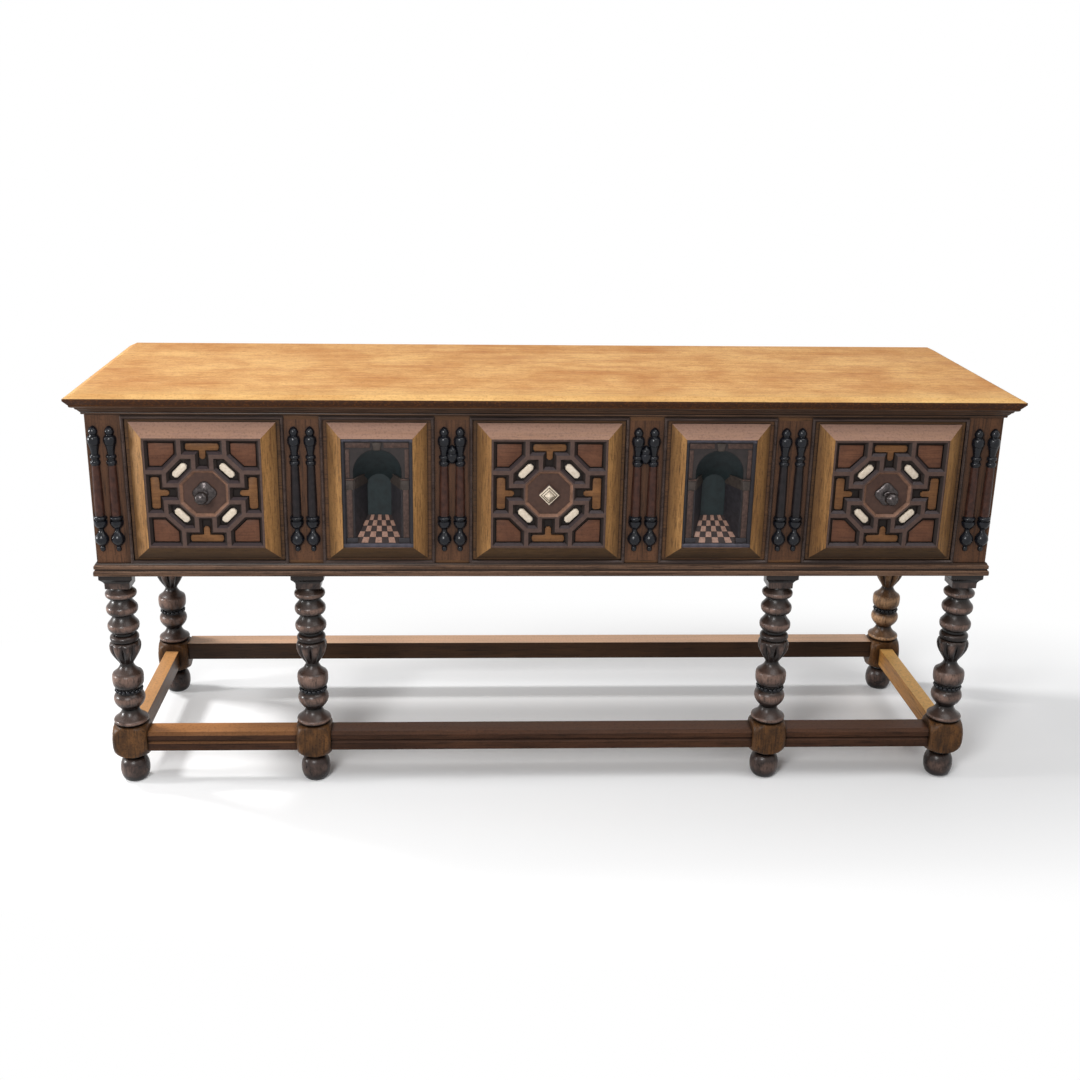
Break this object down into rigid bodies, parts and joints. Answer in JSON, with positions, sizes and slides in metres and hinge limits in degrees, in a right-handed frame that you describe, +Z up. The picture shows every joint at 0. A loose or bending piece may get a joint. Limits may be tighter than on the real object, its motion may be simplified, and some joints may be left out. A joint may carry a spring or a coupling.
{
  "type": "low dresser",
  "caption": "Low oak dresser on turned legs with stretchers, with geometric panelled drawers between arched niches and split balusters under a moulded top.",
  "frame": {"origin": "on the floor, at the middle of the dresser's box", "axes": "+X along the front to the right, +Y to the back, +Z up; the drawers open towards -Y"},
  "size_m": [1.83, 0.561, 0.835],
  "materials": {
    "oak_top": "waxed golden oak",
    "oak_case": "waxed mid-brown oak",
    "oak_golden": "waxed golden-brown oak",
    "oak_dark": "dark polished oak, rubbed on the edges",
    "oak_plain": "bare dry oak",
    "ebonised": "blackened and polished",
    "bone": "aged bone, satin",
    "iron": "blackened wrought iron"
  },
  "bodies": {
    "carcase": {"top": "oak_top", "front_bottom_rail": "oak_case", "front_top_rail": "oak_case", "front_muntins": "oak_case", "end_rails": "oak_case", "end_panels": "oak_case", "back_rails": "oak_plain", "back_boards": "oak_plain", "front_post_left": "oak_case", "front_post_right": "oak_case", "rear_post_left": "oak_case", "rear_post_right": "oak_case", "cornice_moulding": "oak_dark", "base_moulding": "oak_dark", "opening_beads": "oak_dark", "split_balusters": "ebonised", "drawer_runners": "oak_plain", "drawer_guides": "oak_plain", "drawer_kickers": "oak_plain", "drawer_stops": "oak_plain", "niche_panels": "oak_case", "niche_frames": "oak_golden", "niche_recesses": "ebonised", "niche_tiles": "bone", "front_stretcher_left": "oak_dark", "front_stretcher_centre": "oak_dark", "front_stretcher_right": "oak_dark", "end_stretcher_left": "oak_dark", "end_stretcher_right": "oak_dark", "back_stretcher": "oak_dark", "front_legs": "oak_dark", "rear_legs": "oak_dark"},
    "left_drawer": {"left_drawer_front": "oak_case", "left_drawer_frame": "oak_golden", "left_drawer_lattice": "ebonised", "left_drawer_bones": "bone", "left_drawer_pull": "iron", "left_drawer_sides": "oak_plain", "left_drawer_back": "oak_plain", "left_drawer_bottom": "oak_plain"},
    "centre_drawer": {"centre_drawer_front": "oak_case", "centre_drawer_frame": "oak_golden", "centre_drawer_lattice": "ebonised", "centre_drawer_bones": "bone", "centre_drawer_pull": "bone", "centre_drawer_sides": "oak_plain", "centre_drawer_back": "oak_plain", "centre_drawer_bottom": "oak_plain"},
    "right_drawer": {"right_drawer_front": "oak_case", "right_drawer_frame": "oak_golden", "right_drawer_lattice": "ebonised", "right_drawer_bones": "bone", "right_drawer_pull": "iron", "right_drawer_sides": "oak_plain", "right_drawer_back": "oak_plain", "right_drawer_bottom": "oak_plain"}
  },
  "joints": [
    {"name": "left_drawer_slide", "type": "slide", "parent": "carcase", "child": "left_drawer", "axis": [0, -1, 0], "range_m": [0, 0.34]},
    {"name": "centre_drawer_slide", "type": "slide", "parent": "carcase", "child": "centre_drawer", "axis": [0, -1, 0], "range_m": [0, 0.34]},
    {"name": "right_drawer_slide", "type": "slide", "parent": "carcase", "child": "right_drawer", "axis": [0, -1, 0], "range_m": [0, 0.34]}
  ]
}
